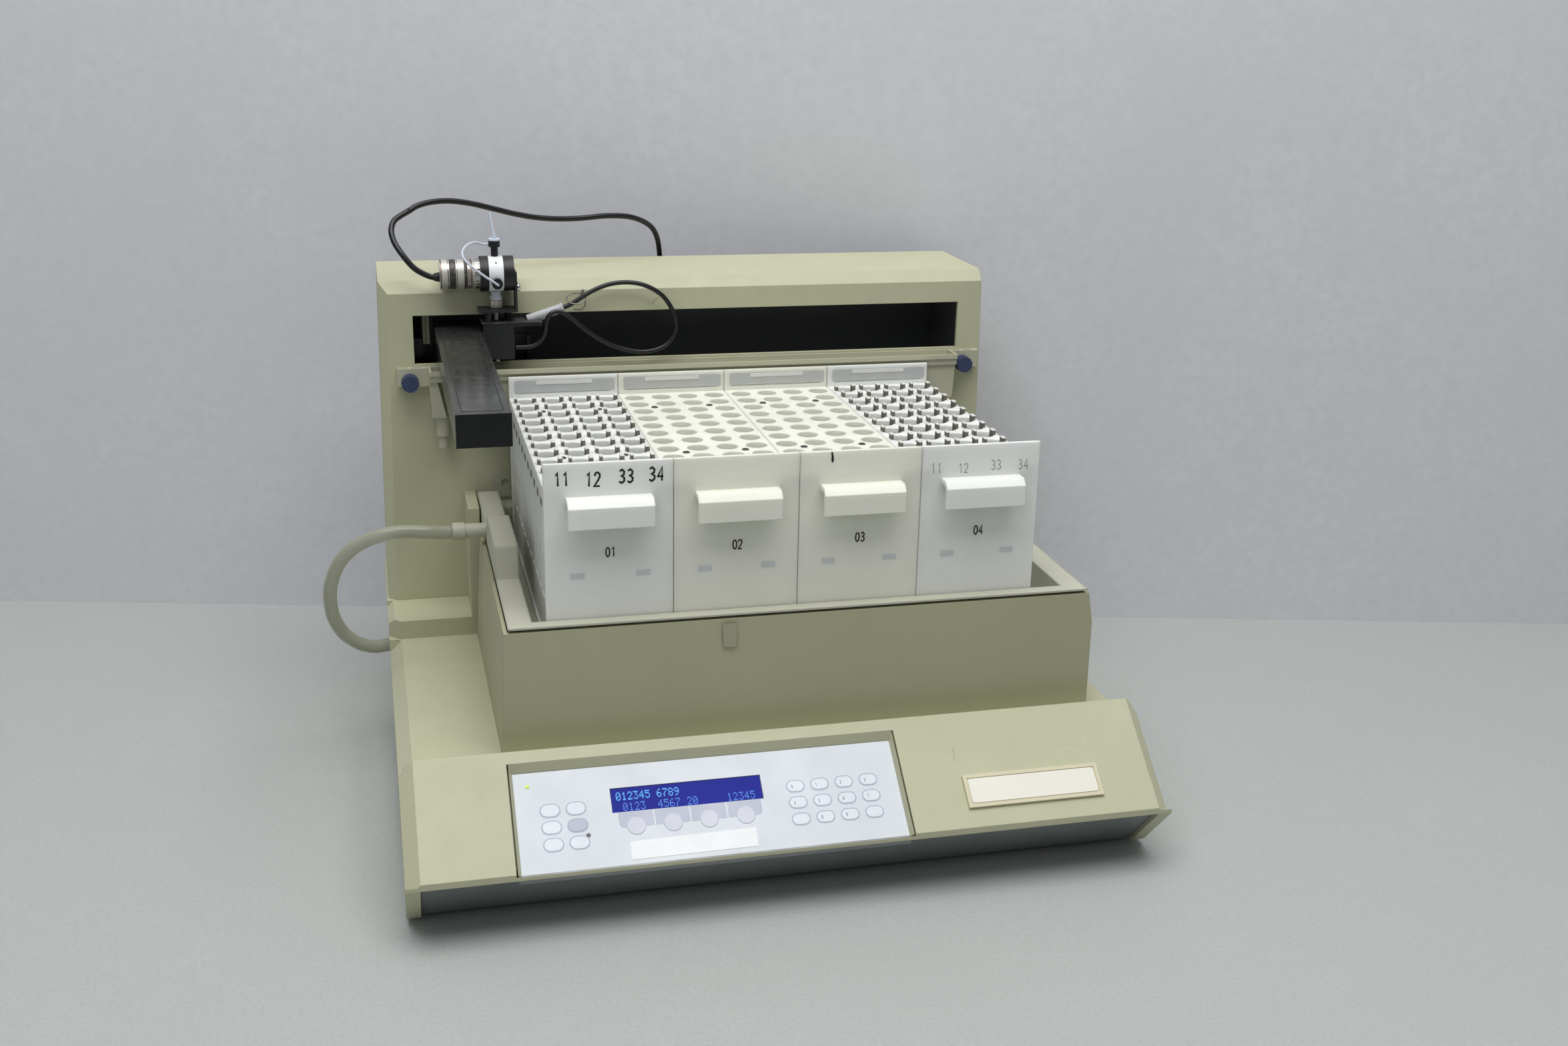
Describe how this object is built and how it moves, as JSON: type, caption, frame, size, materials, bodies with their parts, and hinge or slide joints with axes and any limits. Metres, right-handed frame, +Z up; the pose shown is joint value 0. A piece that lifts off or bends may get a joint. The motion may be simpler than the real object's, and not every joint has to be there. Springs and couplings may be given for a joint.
{
  "type": "fraction collector",
  "caption": "Bench-top fraction collector: sloping keypad base, rear tower with a travelling arm and drop head, drip tray and lift-out tube racks.",
  "frame": {"origin": "middle of the footprint, on the surface under the rubber feet", "axes": "+X to the object's right seen from the keypad, +Y to the rear tower, +Z up"},
  "size_m": [0.5021, 0.43, 0.3712],
  "materials": {
    "chassis_pan": "satin grey paint",
    "rubber_feet": "matt",
    "base_cover": "fine moulded texture, beige",
    "keypad_overlay": "printed membrane sheet",
    "display_module": "blue backlit display",
    "name_plate": "bare cream plate",
    "tub_surround": "fine moulded texture, beige",
    "drip_tray": "coarse vacuum-formed texture",
    "drain_fittings": "moulded",
    "drain_hose": "clear flexible hose",
    "tower_cover": "fine moulded texture, beige",
    "tower_back_panel": "satin grey paint",
    "tower_frame": "zinc grey",
    "x_rails": "ground",
    "x_motor": "black",
    "x_belt": "toothed",
    "drain_trough": "moulded",
    "port_plate": "white",
    "power_inlet": "black",
    "power_supply": "folded sheet",
    "main_board": "circuit board",
    "housing_screws": "plated",
    "trough_knob_left": "blue",
    "trough_knob_right": "blue",
    "power_switch": "black rocker",
    "x_drive_pulley": "machined",
    "x_idler_pulley": "machined",
    "x_carriage": "black",
    "arm_beam": "black, dusty",
    "arm_lid": "black, dusty",
    "arm_end_cap": "black",
    "arm_rod": "ground",
    "y_motor": "dark grey",
    "y_belt": "toothed",
    "y_drive_pulley": "machined",
    "y_idler_pulley": "machined",
    "head_block": "black",
    "head_bracket": "black",
    "valve_body": "white",
    "valve_caps": "black",
    "valve_coil": "nickel plated",
    "tube_fittings": "black",
    "drop_nozzle": "white and steel",
    "bypass_tube": "translucent white",
    "sensor_cable": "black sheath",
    "cable_sleeve": "grey heat-shrink",
    "valve_cable_head": "black sheath",
    "valve_cable_rear": "black sheath",
    "rack_1_shell": "milky white plastic",
    "rack_1_grid": "milky white plastic",
    "rack_1_bars": "milky white plastic",
    "rack_2_shell": "milky white plastic",
    "rack_2_grid": "milky white plastic",
    "rack_2_bars": "milky white plastic",
    "rack_3_shell": "milky white plastic",
    "rack_3_grid": "milky white plastic",
    "rack_3_bars": "milky white plastic",
    "rack_4_shell": "milky white plastic",
    "rack_4_grid": "milky white plastic",
    "rack_4_bars": "milky white plastic"
  },
  "bodies": {
    "housing": {"chassis_pan": "chassis_pan", "rubber_feet": "rubber_feet", "base_cover": "base_cover", "keypad_overlay": "keypad_overlay", "display_module": "display_module", "name_plate": "name_plate", "tub_surround": "tub_surround", "drip_tray": "drip_tray", "drain_fittings": "drain_fittings", "drain_hose": "drain_hose", "tower_cover": "tower_cover", "tower_back_panel": "tower_back_panel", "tower_frame": "tower_frame", "x_rails": "x_rails", "x_motor": "x_motor", "x_belt": "x_belt", "drain_trough": "drain_trough", "port_plate": "port_plate", "power_inlet": "power_inlet", "power_supply": "power_supply", "main_board": "main_board", "housing_screws": "housing_screws", "valve_cable_rear": "valve_cable_rear"},
    "arm": {"x_carriage": "x_carriage", "arm_beam": "arm_beam", "arm_lid": "arm_lid", "arm_end_cap": "arm_end_cap", "arm_rod": "arm_rod", "y_motor": "y_motor", "y_belt": "y_belt"},
    "head": {"head_block": "head_block", "head_bracket": "head_bracket", "valve_body": "valve_body", "valve_caps": "valve_caps", "valve_coil": "valve_coil", "tube_fittings": "tube_fittings", "drop_nozzle": "drop_nozzle", "bypass_tube": "bypass_tube", "sensor_cable": "sensor_cable", "cable_sleeve": "cable_sleeve", "valve_cable_head": "valve_cable_head"},
    "rack_1": {"rack_1_shell": "rack_1_shell", "rack_1_grid": "rack_1_grid", "rack_1_bars": "rack_1_bars"},
    "rack_2": {"rack_2_shell": "rack_2_shell", "rack_2_grid": "rack_2_grid", "rack_2_bars": "rack_2_bars"},
    "rack_3": {"rack_3_shell": "rack_3_shell", "rack_3_grid": "rack_3_grid", "rack_3_bars": "rack_3_bars"},
    "rack_4": {"rack_4_shell": "rack_4_shell", "rack_4_grid": "rack_4_grid", "rack_4_bars": "rack_4_bars"},
    "trough_knob_left": {"trough_knob_left": "trough_knob_left"},
    "trough_knob_right": {"trough_knob_right": "trough_knob_right"},
    "power_switch": {"power_switch": "power_switch"},
    "x_drive_pulley": {"x_drive_pulley": "x_drive_pulley"},
    "x_idler_pulley": {"x_idler_pulley": "x_idler_pulley"},
    "y_drive_pulley": {"y_drive_pulley": "y_drive_pulley"},
    "y_idler_pulley": {"y_idler_pulley": "y_idler_pulley"}
  },
  "joints": [
    {"name": "arm_slide", "type": "slide", "parent": "housing", "child": "arm", "axis": [1, 0, 0], "range_m": [0, 0.32], "deforming": ["valve_cable_rear"]},
    {"name": "head_slide", "type": "slide", "parent": "arm", "child": "head", "axis": [0, -1, 0], "range_m": [0, 0.217], "deforming": ["valve_cable_head"]},
    {"name": "rack_1_lift", "type": "slide", "parent": "housing", "child": "rack_1", "axis": [0, 0, -1], "range_m": [-0.13, 0]},
    {"name": "rack_2_lift", "type": "slide", "parent": "housing", "child": "rack_2", "axis": [0, 0, -1], "range_m": [-0.13, 0]},
    {"name": "rack_3_lift", "type": "slide", "parent": "housing", "child": "rack_3", "axis": [0, 0, -1], "range_m": [-0.13, 0]},
    {"name": "rack_4_lift", "type": "slide", "parent": "housing", "child": "rack_4", "axis": [0, 0, -1], "range_m": [-0.13, 0]},
    {"name": "trough_knob_left_turn", "type": "hinge", "parent": "housing", "child": "trough_knob_left", "pos_m": [-0.2064, 0.0985, 0.2506], "axis": [0, 1, 0], "continuous": true},
    {"name": "trough_knob_right_turn", "type": "hinge", "parent": "housing", "child": "trough_knob_right", "pos_m": [0.196, 0.0985, 0.2506], "axis": [0, 1, 0], "continuous": true},
    {"name": "power_switch_tip", "type": "hinge", "parent": "housing", "child": "power_switch", "pos_m": [0.108, 0.203, 0.04], "axis": [-1, 0, 0], "range_deg": [0, 16]},
    {"name": "x_drive_pulley_turn", "type": "hinge", "parent": "housing", "child": "x_drive_pulley", "pos_m": [-0.2021, 0.1878, 0.2304], "axis": [0, 0, 1], "range_deg": [-180, 3235.8]},
    {"name": "x_idler_pulley_turn", "type": "hinge", "parent": "housing", "child": "x_idler_pulley", "pos_m": [0.1904, 0.1878, 0.2304], "axis": [0, 0, 1], "range_deg": [-180, 3235.8]},
    {"name": "y_drive_pulley_turn", "type": "hinge", "parent": "arm", "child": "y_drive_pulley", "pos_m": [-0.179, 0.136, 0.2744], "axis": [0, 0, 1], "range_deg": [-3140.3, 180]},
    {"name": "y_idler_pulley_turn", "type": "hinge", "parent": "arm", "child": "y_idler_pulley", "pos_m": [-0.179, -0.108, 0.2744], "axis": [0, 0, 1], "range_deg": [-3140.3, 180]}
  ],
  "couplings": [
    {"joint": "x_drive_pulley_turn", "follows": "arm_slide", "rad_per_m": 166.67},
    {"joint": "x_idler_pulley_turn", "follows": "arm_slide", "rad_per_m": 166.67},
    {"joint": "y_drive_pulley_turn", "follows": "head_slide", "rad_per_m": -238.1},
    {"joint": "y_idler_pulley_turn", "follows": "head_slide", "rad_per_m": -238.1}
  ]
}
